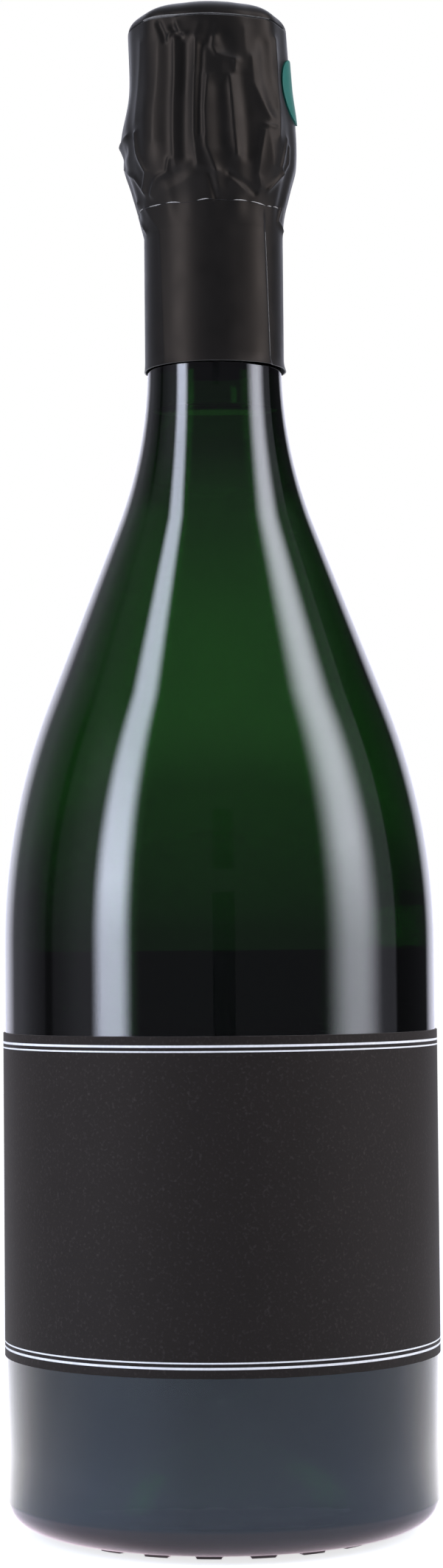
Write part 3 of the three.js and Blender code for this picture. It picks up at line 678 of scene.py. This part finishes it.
cork_mesh = turned(lambda turn: cork_line, CORK_STEPS, joined=False)
cork_mushroom = piece("cork_mushroom", *cork_mesh, [ground_cork])
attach(cork_mushroom, "cork")
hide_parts("cork_body")

# Cork discs: two slices of natural cork, punched across the grain and glued to the foot of the body,
# where the wine meets them. Their dark pores run across each slice.
PORE_MM = 3
natural_cork, add = material("natural_cork")
place = add("TexCoord").outputs["Object"]
streaks = add("Mapping", {"Vector": place, "Scale": (1, 3, 3)})
pore = add("TexNoise", {"Vector": streaks, "Scale": 1 / (PORE_MM * MM), "Detail": 5})
fleck = add("MapRange", pore, 0.56, 0.68, 0, 1)
slice_colour = add("Mix", {"Factor": fleck, "A": "#d2a878", "B": "#7a5230"}, data_type="RGBA")
relief = add("Bump", {"Height": fleck, "Strength": 0.4, "Distance": 0.15 * MM}, invert=True)
bark = add("BsdfPrincipled", {"Base Color": slice_colour, "Roughness": 0.85, "Normal": relief})
add("OutputMaterial", bark)

for place_name in ("upper", "lower"):
    disc_low, disc_high = (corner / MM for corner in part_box("cork_disc_" + place_name))
    disc_line = rounded([
        (0, disc_low.z, 0), (CORK_RADIUS, disc_low.z, 0.35),
        (CORK_RADIUS, disc_high.z, 0.35), (0, disc_high.z, 0),
    ])
    disc_mesh = turned(lambda turn: disc_line, CORK_STEPS, joined=False)
    cork_slice = piece("cork_slice_" + place_name, *disc_mesh, [natural_cork])
    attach(cork_slice, "cork")
    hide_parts("cork_disc_" + place_name)

# Cage plaque: a thin disc stamped from tinned steel with a raised middle and a step for the hoop.
# It keeps the wire from cutting into the cork's head.
plaque_low, plaque_high = (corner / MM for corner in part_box("cage_plaque"))
PLAQUE_RADIUS = plaque_high.x
PLATE = 0.3
HOOP_RADIUS = PLAQUE_RADIUS - 1
STEP_RADIUS = HOOP_RADIUS - 0.7
under, over = plaque_low.z, plaque_low.z + PLATE
plaque_line = rounded([
    (0, under + 0.6, 0), (STEP_RADIUS - 2, under + 0.48, 1.5),
    (STEP_RADIUS - 1, under, 0.4), (PLAQUE_RADIUS, under, 0.12),
    (PLAQUE_RADIUS, over, 0.12), (STEP_RADIUS - 0.9, over, 0.4),
    (STEP_RADIUS - 1.9, over + 0.48, 1.5), (0, over + 0.6, 0),
])

# Tinned steel sheet, rolled and clear lacquered: soft grey metal with faint rolling lines
ROLL_MM = 0.4
tin_plate, add = material("tinned_steel")
place = add("TexCoord").outputs["Object"]
rolled = add("Mapping", {"Vector": place, "Scale": (0.05, 1, 1)})
line_work = add("TexNoise", {"Vector": rolled, "Scale": 1 / (ROLL_MM * MM), "Detail": 2})
sheen = add("MapRange", line_work, 0.3, 0.7, 0.28, 0.42)
plate = add("BsdfPrincipled", {"Base Color": "#b9b6ae", "Metallic": 1, "Roughness": sheen})
add("OutputMaterial", plate)

plaque_cap = piece("plaque_cap", *turned(lambda turn: plaque_line, CORK_STEPS, joined=False), [tin_plate])
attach(plaque_cap, "cage")
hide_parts("cage_plaque")

# Cage frame wire: one soft steel wire bent into the hoop and four legs, each twisted from two strands,
# with a loop at each foot for the belt.
WIRE = 0.45
WIRE_SIDES = 10
TWISTS = 3
BELT_RADIUS = RECESS_RADIUS + 0.5 + 3 * WIRE
LOOP_RADIUS = CLEARANCE + 2 * WIRE
HOOP_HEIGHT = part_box("cage_frame_wire")[1].z / MM - WIRE
STRAND = 0.8 * WIRE
LEG_CORK_RADIUS = HEAD_RADIUS + CLEARANCE + STRAND + WIRE
LEG_COLLAR_RADIUS = COLLAR_RADIUS + CLEARANCE + STRAND + WIRE


def wire_mesh(paths):
    """Points and faces of round wires along paths of points in metres.
    A path that ends where it starts is closed."""
    points, faces = [], []
    for path in paths:
        line = [Vector(point) for point in path]
        closed = (line[0] - line[-1]).length < 1e-7
        if closed:
            line.pop()
        first = len(points)
        count = len(line)
        across = Vector((0, 0, 1))
        for i, here in enumerate(line):
            ahead = line[(i + 1) % count] if closed or i + 1 < count else here
            behind = line[i - 1] if closed or i else here
            along = (ahead - behind).normalized()
            across = across - along * across.dot(along)
            if across.length < 1e-4:
                across = along.orthogonal()
            across.normalize()
            side = across.cross(along)
            for a in evenly(0, 2 * pi, WIRE_SIDES)[:-1]:
                points.append(here + MM * WIRE * (across * cos(a) + side * sin(a)))
        faces += quads(count, WIRE_SIDES, whole=closed, capped=not closed, first=first)
    return points, faces


def ring(radius, height, steps=96):
    """A level ring round the axis."""
    return [around(turn, radius, height) for turn in evenly(0, 2 * pi, steps)]


def upright_ring(turn, radius, height, size, facing_out):
    """A small ring that stands on edge at a turn, in line with the radius or across it."""
    line = []
    for a in evenly(0, 2 * pi, 32):
        if facing_out:
            line.append(around(turn + size * cos(a) / radius, radius, height + size * sin(a)))
        else:
            line.append(around(turn, radius + size * cos(a), height + size * sin(a)))
    return line


def strands(line, turn, twists, start=0.2, steps=72):
    """Two wires along a line of radius and height at a turn, side by side and then twisted together."""
    corners = [Vector(point) for point in line]
    lengths = [(b - a).length for a, b in zip(corners, corners[1:])]
    pair = [[], []]
    for share in evenly(0, 1, steps):
        reach = share * sum(lengths)
        k = 0
        while k < len(lengths) - 1 and reach > lengths[k]:
            reach -= lengths[k]
            k += 1
        middle = corners[k].lerp(corners[k + 1], min(1, reach / lengths[k]))
        twist = max(0, share - start) / (1 - start) * twists * 2 * pi
        for strand, half_turn in zip(pair, (0, pi)):
            sideways = STRAND * cos(twist + half_turn)
            outward = STRAND * sin(twist + half_turn)
            strand.append(around(turn + sideways / middle.x, middle.x + outward, middle.y))
    return pair


leg_line = rounded([
    (HOOP_RADIUS, HOOP_HEIGHT, 0), (LEG_CORK_RADIUS, HOOP_HEIGHT, 1.4),
    (LEG_CORK_RADIUS, MOUTH_TOP + 2, 2), (LEG_COLLAR_RADIUS, COLLAR_TOP, 2),
    (LEG_COLLAR_RADIUS, COLLAR_BOTTOM + 0.6, 1),
    (BELT_RADIUS + 0.7 * LOOP_RADIUS, BELT_HEIGHT + 0.8 * LOOP_RADIUS, 0),
])
frame_paths = [ring(HOOP_RADIUS, HOOP_HEIGHT)]
for turn in LEG_TURNS:
    frame_paths += strands(leg_line, turn, TWISTS)
    frame_paths.append(upright_ring(turn, BELT_RADIUS, BELT_HEIGHT, LOOP_RADIUS, False))

# Soft steel wire, drawn and galvanised: bright grey with drawing marks along it and dull spots of zinc
SPANGLE_MM = 1.2
steel_wire, add = material("galvanised_wire")
place = add("TexCoord").outputs["Object"]
spangle = add("TexNoise", {"Vector": place, "Scale": 1 / (SPANGLE_MM * MM), "Detail": 3})
zinc = add("Mix", {"Factor": spangle, "A": "#9b9890", "B": "#cfccc4"}, data_type="RGBA")
dull = add("MapRange", spangle, 0.3, 0.7, 0.45, 0.28)
drawn = add("BsdfPrincipled", {"Base Color": zinc, "Metallic": 1, "Roughness": dull})
add("OutputMaterial", drawn)

cage_legs = piece("cage_legs", *wire_mesh(frame_paths), [steel_wire])
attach(cage_legs, "cage")
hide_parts("cage_frame_wire")

# Cage belt wire: a second wire through the loops of the legs, drawn tight under the collar.
# Its ends are twisted into a stem with an eye, which is folded up against the neck.
EYE_RADIUS = 3.2
EYE_STEM = 3.4
stem_top = BELT_HEIGHT + EYE_STEM
stem_line = rounded([
    (BELT_RADIUS, BELT_HEIGHT, 0), (LEG_COLLAR_RADIUS, BELT_HEIGHT + 0.3, 0.8),
    (LEG_COLLAR_RADIUS, stem_top, 0),
])
belt_paths = [ring(BELT_RADIUS, BELT_HEIGHT)]
belt_paths += strands(stem_line, EYE_TURN, 1.5)
belt_paths.append(upright_ring(EYE_TURN, LEG_COLLAR_RADIUS, stem_top + EYE_RADIUS, EYE_RADIUS, True))
cage_belt = piece("cage_belt", *wire_mesh(belt_paths), [steel_wire])
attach(cage_belt, "cage")
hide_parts("cage_belt_wire")

# Foil hood: the upper part of the capsule, of the same laminate. It is pleated over the cage, crimped
# under the collar, and hangs on at the perforations, whose slits have pulled open and bared their edges.
HOOD_ROWS = 130
HOOD_TOP = DISC_RIM - 0.3


def hood_line(turn):
    """The hood's section at a turn: up the outside, tucked in under the disc, and down the inside."""
    heights = evenly(tear_height(turn) + 0.03, HOOD_TOP, HOOD_ROWS)
    outer = [(foil_radius(turn, height), height) for height in heights]
    rim = outer[-1][0]
    tuck = rim - FOIL - CLEARANCE
    outer += [(rim - 0.2, HOOD_TOP + 0.15), (tuck, HOOD_TOP + 0.2), (tuck - 0.3, HOOD_TOP + 0.8)]
    return outer + [(radius - FOIL, height - 0.02) for radius, height in reversed(outer)]


capsule_hood = piece("capsule_hood", *turned(hood_line, FOIL_STEPS), [black_foil], FOIL_SHARP)
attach(capsule_hood, "hood")
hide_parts("foil_hood")

# Perforation slits: the cut lips along the hood's lower edge, each a sliver of bare laminate with a painted
# highlight on it.
# Those in front lie where they show, and the rest follow at about the same spacing.
SLIT_LIP = 0.18
SLIT_ROWS = 8
slit_spans = [(-57, -43), (-38, -26), (-12, -3), (16, 28), (31, 46), (48, 53), (55, 66)]
slit_spans += [(start, start + chance.uniform(6, 13)) for start in range(80, 290, 17)]
slit_points, slit_faces = [], []
for start, stop in slit_spans:
    middle = radians((start + stop) / 2)
    half = radians((stop - start) / 2)
    first = len(slit_points)
    for k in range(SLIT_ROWS + 1):
        turn = middle + half * (2 * k / SLIT_ROWS - 1)
        height = tear_height(turn) + 0.05
        lip = SLIT_LIP * sin(pi * k / SLIT_ROWS) ** 0.5
        radius = foil_radius(turn, height)
        for lift, rise in ((0.12, 0), (0.08, lip), (-0.1, lip), (-0.1, 0)):
            slit_points.append(around(turn, radius + lift, height + rise))
    slit_faces += quads(SLIT_ROWS + 1, 4, first=first)
tear_slits = piece("tear_slits", slit_points, slit_faces, [cut_edge_glint])
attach(tear_slits, "hood")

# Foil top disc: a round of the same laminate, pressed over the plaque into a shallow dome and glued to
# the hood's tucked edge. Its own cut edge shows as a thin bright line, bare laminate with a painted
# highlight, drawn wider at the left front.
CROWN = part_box("foil_top_disc")[1].z / MM - DISC_RIM
CROWN_ROWS = 28
CUT_EDGE = 0.1
GLINT_FLARE = 0.22
GLINT_FLARE_TURN = radians(-36)
# Spans of turn in degrees where the rim's underside shows the cut colour, a painted highlight on the bare
# edge
glinting_cut_spans = [(-52, 46), (74, 90), (130, 170), (200, 226), (262, 280)]


def disc_section(turn):
    """The disc's section at a turn: out along the underside, over the cut edge, and back over the dome."""
    rim = foil_radius(turn, DISC_RIM)
    edge = CUT_EDGE + GLINT_FLARE * swell(off_turn(turn, GLINT_FLARE_TURN), radians(13))
    under, over = [], []
    for a in evenly(0, pi / 2, CROWN_ROWS):
        under.append(((rim - FOIL - edge) * sin(a), DISC_RIM + (CROWN - FOIL) * cos(a)))
        over.append((rim * sin(a), DISC_RIM + max(edge, CROWN * cos(a))))
    return under + over[::-1]


disc_mesh = turned(disc_section, FOIL_STEPS, joined=False)
capsule_disc = piece("capsule_disc", *disc_mesh, [black_foil, cut_edge_glint], FOIL_SHARP)
# Those spans of the rim's underside take the cut colour, a painted highlight on the bare edge.
for face in capsule_disc.data.polygons:
    turn = degrees(atan2(face.center.x, -face.center.y))
    glinting_cut = any(start < turn < stop or start < turn + 360 < stop for start, stop in glinting_cut_spans)
    if glinting_cut and face.normal.z < -0.3 and face.center.z < (DISC_RIM + CUT_EDGE + GLINT_FLARE) * MM:
        face.material_index = 1
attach(capsule_disc, "hood")
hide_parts("foil_top_disc")

# Round sticker: a seal punched from semi-gloss teal paper.
# It is stuck by its own gum on the side of the hood, over the calmest part of the foil.
STICKER_RADIUS = 6.7
STICKER_RINGS = 8
STICKER_SIDES = 64
STICKER_FACE = 0.4
STICKER_BACK = 0.02
STICKER_SEAT = 16.5


def sticker_point(reach, angle, lift):
    """A point of the sticker, given from its middle, on the foil or lifted off it."""
    height = STICKER_HEIGHT + reach * sin(angle)
    turn = STICKER_TURN + reach * cos(angle) / STICKER_SEAT
    return around(turn, foil_radius(turn, height) + lift, height)


sticker_rings = [(reach, STICKER_FACE) for reach in evenly(0, STICKER_RADIUS, STICKER_RINGS)]
sticker_rings.append((STICKER_RADIUS, STICKER_BACK))
sticker_points = []
for reach, lift in sticker_rings:
    for angle in evenly(0, 2 * pi, STICKER_SIDES)[:-1]:
        sticker_points.append(sticker_point(reach, angle, lift))

# Coated teal paper with a soft gloss and a little tooth
TOOTH_MM = 0.7
coat = {"Roughness": 0.5, "Specular IOR Level": 0.15}
teal_paper = two_toned("coated_teal_paper", TOOTH_MM, 3, "#1a564c", "#226458", coat)

sticker_faces = quads(len(sticker_rings), STICKER_SIDES)
hood_sticker = piece("hood_sticker", sticker_points, sticker_faces, [teal_paper])
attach(hood_sticker, "hood")
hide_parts("foil_round_sticker")

# Floor: a wide sheet of matt white studio paper, a hair below the pads. It reads as the white
# background to the camera and in gloss and glass, and still takes the bottle's shadow.
# Each range goes from one distance or share of the heading to another, and then gives the levels there.
FLOOR_REACH = 2.4
FLOOR_GAP = 0.05
CAMERA_GLOW = (0.25, 1.2, 0.74, 1)
GLASS_GLOW = (0.96, 1.4, 1.5, 0.66)
GLOSS_BACK = (0.1, 0.8, 0.19, 0.425)
GLOSS_LEFT = (-0.25, -0.65, 0, 0.105)
GLOSS_NEAREST = 0.13
GLOSS_FALL = -0.7
GLASS_NEAR = (0.1, 0.5)
CAST_OUTWARD = (0.042, 0.06)
NEUTRAL_BACK = (-0.5, 0.4)
FADE = (1.1, 2.3, 1, 0)
# The sheet glows. Seen in gloss and glass its glow is a painted reflection, set by distance and heading,
# and tinted pink near the base, blue in front and near white behind; to the camera its glow is white.
white_floor, add = material("matt_studio_paper")
path = add("LightPath")
place = add("TexCoord").outputs["Object"]
away = add("VectorMath", place, operation="LENGTH")
heading = add("SeparateXYZ", add("VectorMath", place, operation="NORMALIZE"))
to_camera = add("MapRange", away, *CAMERA_GLOW)
to_glass = add("MapRange", away, *GLASS_GLOW)
gloss_back = add("MapRange", heading.outputs["Y"], *GLOSS_BACK)
gloss_left = add("MapRange", heading.outputs["X"], *GLOSS_LEFT)
gloss_side = add("Math", gloss_back, gloss_left)
gloss_from = add("Math", away, GLOSS_NEAREST, operation="MAXIMUM")
gloss_far = add("Math", gloss_from, GLOSS_FALL, operation="POWER")
to_gloss = add("Math", gloss_side, gloss_far, operation="MULTIPLY")
near = add("MapRange", away, *GLASS_NEAR)
through = add("Math", to_glass, near, operation="MULTIPLY")
off_glass = add("Mix", {"Factor": path.outputs["Is Transmission Ray"], "A": to_gloss, "B": through})
mirrored = add("Math", off_glass, path.outputs["Is Glossy Ray"], operation="MULTIPLY")
glow = add("Math", path.outputs["Is Camera Ray"], to_camera, mirrored, operation="MULTIPLY_ADD")
outward = add("MapRange", away, *CAST_OUTWARD)
behind = add("MapRange", heading.outputs["Y"], *NEUTRAL_BACK)
outer_cast = add("Mix", {"Factor": behind, "A": "#bcd6ff", "B": "#fffcfd"}, data_type="RGBA")
cast = add("Mix", {"Factor": outward, "A": "#ffe8f5", "B": outer_cast}, data_type="RGBA")
to_eye = path.outputs["Is Camera Ray"]
glow_colour = add("Mix", {"Factor": to_eye, "A": cast, "B": "#ffffff"}, data_type="RGBA")
opaque = add("MapRange", away, *FADE)
sheet = add("BsdfPrincipled", {
    "Base Color": "#e2e6ec", "Roughness": 0.95, "Specular IOR Level": 0, "Alpha": opaque,
    "Emission Color": glow_colour, "Emission Strength": glow,
})
add("OutputMaterial", sheet)
floor_corners = []
for x, y in ((-1, -1), (1, -1), (1, 1), (-1, 1)):
    floor_corners.append((FLOOR_REACH * x, FLOOR_REACH * y, -FLOOR_GAP * MM))
floor = piece("studio_floor", floor_corners, [(0, 1, 2, 3)], [white_floor])

# Flag: a black card round the back of the bottle up to its shoulder, which only the glass sees.
# It keeps the light behind the bottle from shining through its straight part.
FLAG_TOP = 117.5
FLAG_RADIUS = BODY_RADIUS + 2
FLAG_STEPS = 24
flag_points = []
for turn in evenly(pi / 2, 3 * pi / 2, FLAG_STEPS):
    flag_points += [around(turn, FLAG_RADIUS, 0.1), around(turn, FLAG_RADIUS, FLAG_TOP)]


def hide_from(thing, *rays):
    """Keeps a thing on the stage out of sight of some kinds of ray."""
    for ray in rays:
        setattr(thing, "visible_" + ray, False)


# Card that gives back next to no light
black_card, add = material("black_card")
matt = add("BsdfPrincipled", {"Base Color": "#101010", "Roughness": 0.95})
add("OutputMaterial", matt)
flag = piece("black_flag", flag_points, quads(FLAG_STEPS + 1, 2, joined=False), [black_card])
hide_from(flag, "camera", "diffuse", "glossy", "shadow")

# Camera stand: the two grey parts of the stand behind the lens, which only the gloss of the glass sees.
# The front of the bottle mirrors them as two dark oblongs, one above the other.
STAND_AWAY = 750
STAND_TURN = radians(2.3)
STAND_HALF = radians(5.7)
stand_parts = [(0.1, 245), (303, 467)]
stand_points = []
for low, high in stand_parts:
    for side, height in ((-1, low), (1, low), (1, high), (-1, high)):
        stand_points.append(around(STAND_TURN + side * STAND_HALF, STAND_AWAY, height))

# Paint of a middle grey with little gloss
grey_paint, add = material("grey_stand_paint")
matt = add("BsdfPrincipled", {"Base Color": "#505050", "Roughness": 0.7})
add("OutputMaterial", matt)
stand = piece("camera_stand", stand_points, [(0, 1, 2, 3), (4, 5, 6, 7)], [grey_paint])
hide_from(stand, "camera", "diffuse", "transmission", "shadow")

# Lights: two tall strip softboxes that stand left and right of the camera and fade towards their edges.
# The camera looks past them, and the glass and the foil mirror them as two long streaks.
SOFTBOX_AWAY = 0.8
SOFTBOX_BOTTOM = 0.03
SOFTBOXES = {
    "left": {"turn": -57.4, "spread": 26, "edge": 0.35, "top": 1.1, "radiance": 15.2, "tint": "#e3eaff"},
    "right": {"turn": 74.8, "spread": 40.5, "edge": 0.45, "top": 1.7, "radiance": 9.3, "tint": "#f0f2ff"},
}
RISE = {"left": (0.05, 0.22, 0.72, 1), "right": (0.04, 0.19, 0.55, 1)}
FALL = {"left": (0.25, 0.6, 1, 0.75), "right": (0.25, 0.6, 1, 1)}
for name, build in SOFTBOXES.items():
    strip = bpy.data.lights.new("softbox_" + name, "AREA")
    strip.shape = "RECTANGLE"
    strip.size = 2 * SOFTBOX_AWAY * tan(radians(build["spread"] / 2))
    strip.size_y = build["top"] - SOFTBOX_BOTTOM
    strip.energy = build["radiance"] * pi * strip.size * strip.size_y
    strip.color = linear(build["tint"])[:3]
    strip, add = emptied(strip)
    spot = add("SeparateXYZ", add("NewGeometry").outputs["Parametric"])
    across = spot.outputs["X"]
    near = add("MapRange", across, 0, build["edge"], interpolation_type="SMOOTHSTEP")
    rest = add("Math", 1, across, operation="SUBTRACT")
    far = add("MapRange", rest, 0, build["edge"], interpolation_type="SMOOTHSTEP")
    fade = add("Math", near, far, operation="MULTIPLY")
    rise = add("MapRange", spot.outputs["Y"], *RISE[name])
    fall = add("MapRange", spot.outputs["Y"], *FALL[name])
    height = add("Math", rise, fall, operation="MULTIPLY")
    glow = add("Math", fade, height, operation="MULTIPLY")
    add("OutputLight", add("Emission", {"Strength": glow}))
    softbox = bpy.data.objects.new("softbox_" + name, strip)
    heading = radians(build["turn"])
    side = Vector((sin(heading), -cos(heading), 0))
    softbox.location = side * SOFTBOX_AWAY + Vector((0, 0, (build["top"] + SOFTBOX_BOTTOM) / 2))
    softbox.rotation_euler = (-side).to_track_quat("-Z", "Y").to_euler()
    hide_from(softbox, "camera")
    scene.collection.objects.link(softbox)

# World: the studio round the bottle, as bright on each side as the glass mirrors it: a lit white backdrop
# behind, black cards beside it, spill round the softboxes and a dim front. The camera sees white all round.
# Each stop is a turn in degrees from the front towards +X, and a level.
PANORAMA = [
    (-180, 1.5), (-155, 1.6), (-147, 1), (-143, 0.35), (-138, 0.3), (-131, 0.34), (-122, 0.27),
    (-110, 0.17), (-106.5, 0.15), (-105, 0.07), (-100.5, 0.07), (-98.5, 0.18), (-92, 0.24), (-81, 0.42),
    (-74, 0.5), (-46, 0.28), (-42, 0.18), (42, 0.17), (58, 0.17), (90, 0.5), (97, 0.5), (102.6, 0.4),
    (107, 0.39), (108.5, 0.05), (144, 0.045), (150, 1.2), (155, 1.6), (180, 1.5),
]
PANORAMA_MOST = 2
ROOM = 0.15
CEILING = 0.22
CEILING_FROM = (sin(radians(40)), sin(radians(25)))
BACKDROP_EDGE = (0.57, 0.5)
BACKDROP_FOOT = (-0.1, 0, 0.85, 0.23)
BACKDROP_HEAD = (0.03, 0.16, 1, 0.6)
scene.world, add = emptied(bpy.data.worlds.new("studio"))
path = add("LightPath")
heading = add("SeparateXYZ", add("TexCoord").outputs["Generated"])
front = add("Math", heading.outputs["Y"], -1, operation="MULTIPLY")
turn = add("Math", heading.outputs["X"], front, operation="ARCTAN2")
share = add("MapRange", turn, -pi, pi)
panorama = add("ValToRGB", share)
stops = panorama.color_ramp.elements
while len(stops) > 1:
    stops.remove(stops[-1])
for i, (bearing, level) in enumerate(PANORAMA):
    stop = stops[0] if i == 0 else stops.new(bearing / 360 + 0.5)
    stop.color = [level / PANORAMA_MOST] * 3 + [1]
lit = add("Math", panorama, PANORAMA_MOST, operation="MULTIPLY")
low = add("MapRange", heading.outputs["Z"], *CEILING_FROM, interpolation_type="SMOOTHSTEP")
mirrored = add("Mix", {"Factor": low, "A": CEILING, "B": lit})
behind = add("Math", heading.outputs["Y"], 0, operation="GREATER_THAN")
aside = add("Math", heading.outputs["X"], operation="ABSOLUTE")
gate = add("MapRange", aside, *BACKDROP_EDGE, interpolation_type="SMOOTHSTEP")
window = add("Math", behind, gate, operation="MULTIPLY")
foot = add("MapRange", heading.outputs["Z"], *BACKDROP_FOOT)
head = add("MapRange", heading.outputs["Z"], *BACKDROP_HEAD)
dimmed = add("Math", foot, head, operation="MULTIPLY")
shown = add("Math", window, dimmed, operation="MULTIPLY")
through = add("Math", shown, ROOM, operation="MAXIMUM")
seen = add("Mix", {"Factor": path.outputs["Is Transmission Ray"], "A": mirrored, "B": through})
level = add("Mix", {"Factor": path.outputs["Is Glossy Ray"], "A": ROOM, "B": seen})
to_eye = path.outputs["Is Camera Ray"]
strength = add("Math", level, to_eye, operation="MAXIMUM")
cast = add("Mix", {"Factor": to_eye, "A": "#edeeff", "B": "#ffffff"}, data_type="RGBA")
add("OutputWorld", add("Background", {"Color": cast, "Strength": strength}))
